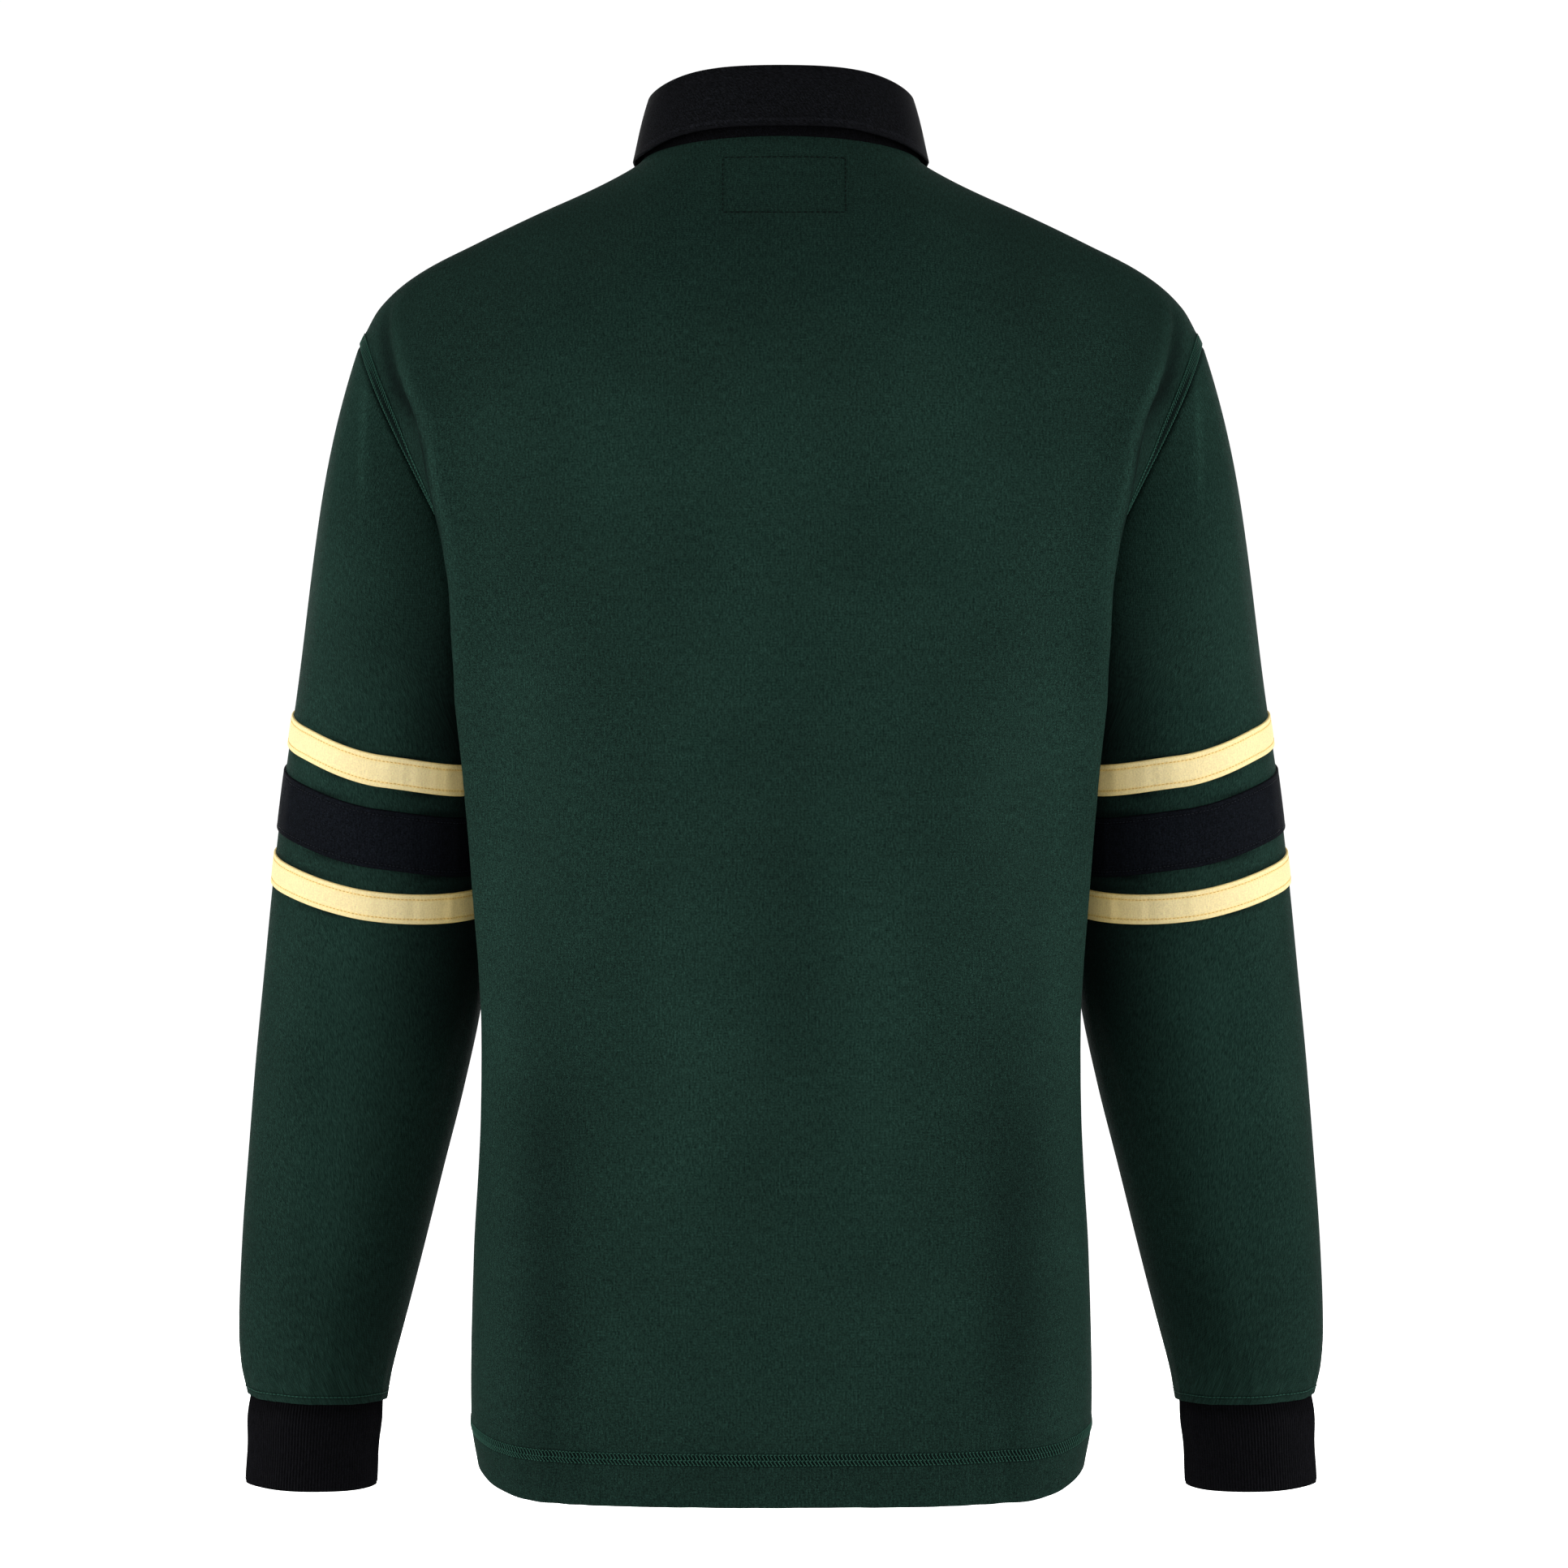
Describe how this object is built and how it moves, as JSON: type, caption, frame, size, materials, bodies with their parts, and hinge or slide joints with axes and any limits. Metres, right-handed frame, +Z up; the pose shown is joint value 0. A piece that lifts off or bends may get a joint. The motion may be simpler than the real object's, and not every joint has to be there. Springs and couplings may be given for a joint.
{
  "type": "long-sleeved rugby shirt",
  "caption": "Dark green long-sleeved rugby shirt, filled out and hollow, with a turned-down collar, a buttoned front opening, banded sleeves and ribbed cuffs.",
  "frame": {"origin": "middle of the neck base, at the height of the points where the shoulder seams meet the neck, where the wearer's neck and shoulders hold the shirt", "axes": "+Z up, the front faces -Y, +X is the wearer's left; the shirt is mirror symmetric across the YZ plane"},
  "size_m": [0.616, 0.2541, 0.788],
  "materials": {
    "green_jersey": "dark green cotton jersey knit, matt with a soft nap",
    "yellow_jersey": "pale yellow cotton jersey knit, matt",
    "navy_jersey": "dark navy cotton jersey knit, matt",
    "collar_twill": "navy-black cotton twill, matt",
    "rib_knit": "black 1x1 rib knit, matt",
    "rubber": "dark moulded rubber, satin"
  },
  "bodies": {
    "root": {"back_panel": "green_jersey", "front_panel": "green_jersey", "sleeve_left": "green_jersey", "sleeve_right": "green_jersey", "band_upper_left": "yellow_jersey", "band_upper_right": "yellow_jersey", "band_middle_left": "navy_jersey", "band_middle_right": "navy_jersey", "band_lower_left": "yellow_jersey", "band_lower_right": "yellow_jersey", "cuff_left": "rib_knit", "cuff_right": "rib_knit", "collar_stand": "collar_twill", "collar_leaf": "collar_twill", "placket_top": "green_jersey", "placket_under": "green_jersey", "button_1": "rubber", "button_2": "rubber", "button_3": "rubber"}
  },
  "joints": []
}
